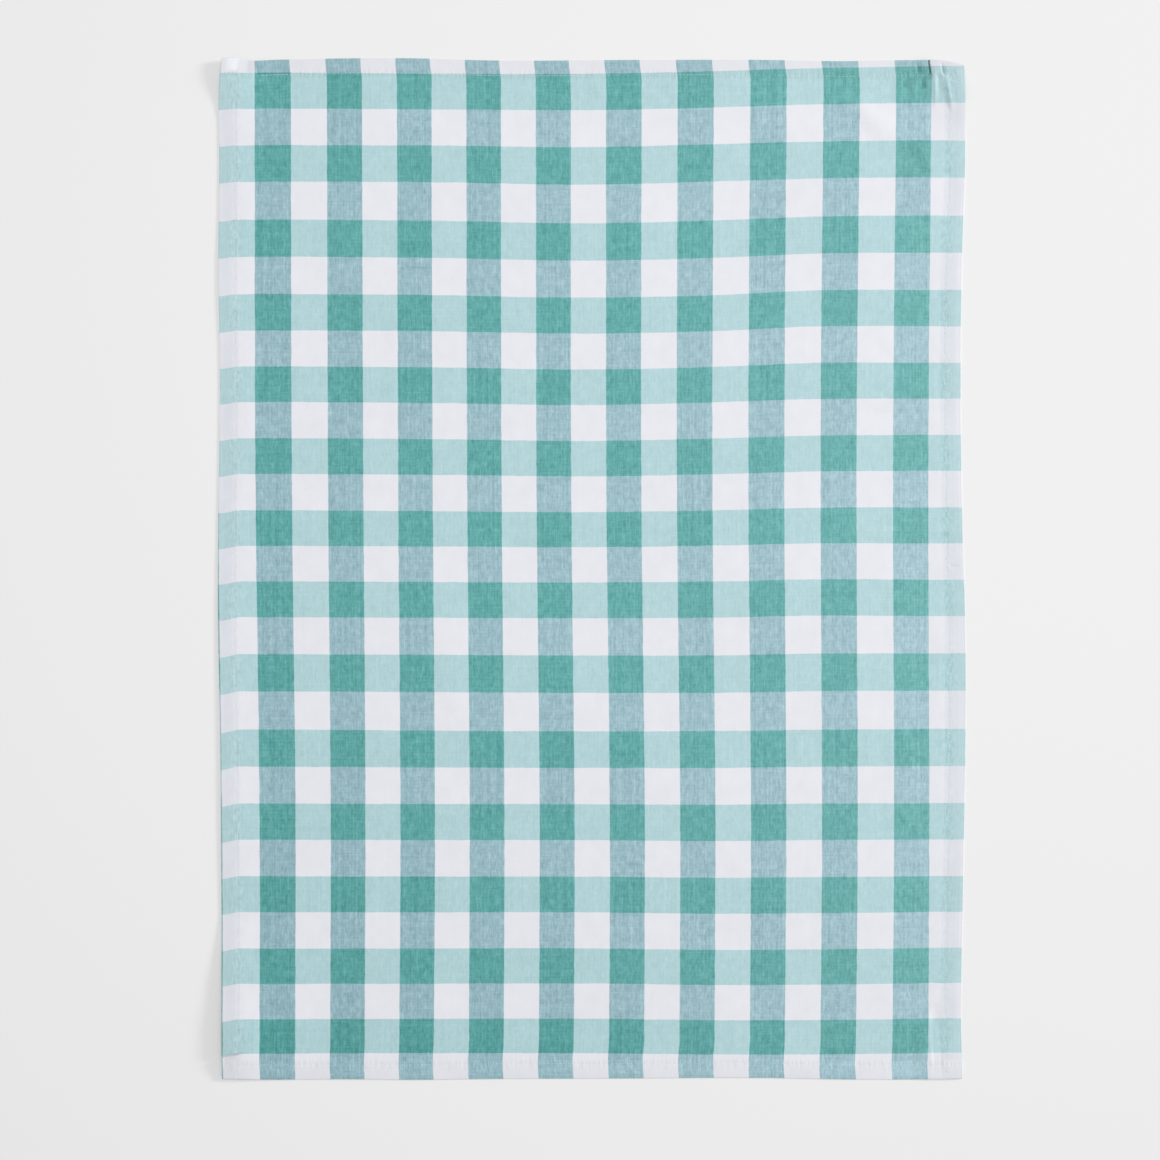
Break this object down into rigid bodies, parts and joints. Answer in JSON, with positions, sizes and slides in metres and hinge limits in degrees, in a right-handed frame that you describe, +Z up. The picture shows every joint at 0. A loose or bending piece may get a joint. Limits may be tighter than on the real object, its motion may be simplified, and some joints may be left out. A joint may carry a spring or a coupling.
{
  "type": "tea towel",
  "caption": "Flat cotton tea towel with a green and white gingham check and turned, stitched hems all round, lying face up with softly lifted corners.",
  "frame": {"origin": "on the surface that the towel lies on, under the middle of its outline", "axes": "+Z up out of the towel's face, +Y along its length towards the end with the gathered corner, +X across it to the right as seen from above"},
  "size_m": [0.5092, 0.6942, 0.0093],
  "materials": {
    "checked_cotton": "plain-woven cotton gingham of green-teal and white yarns, matt, with small slubs",
    "sewing_thread": "pale cotton sewing thread, matt"
  },
  "bodies": {
    "root": {"towel_cloth": "checked_cotton"}
  },
  "joints": []
}
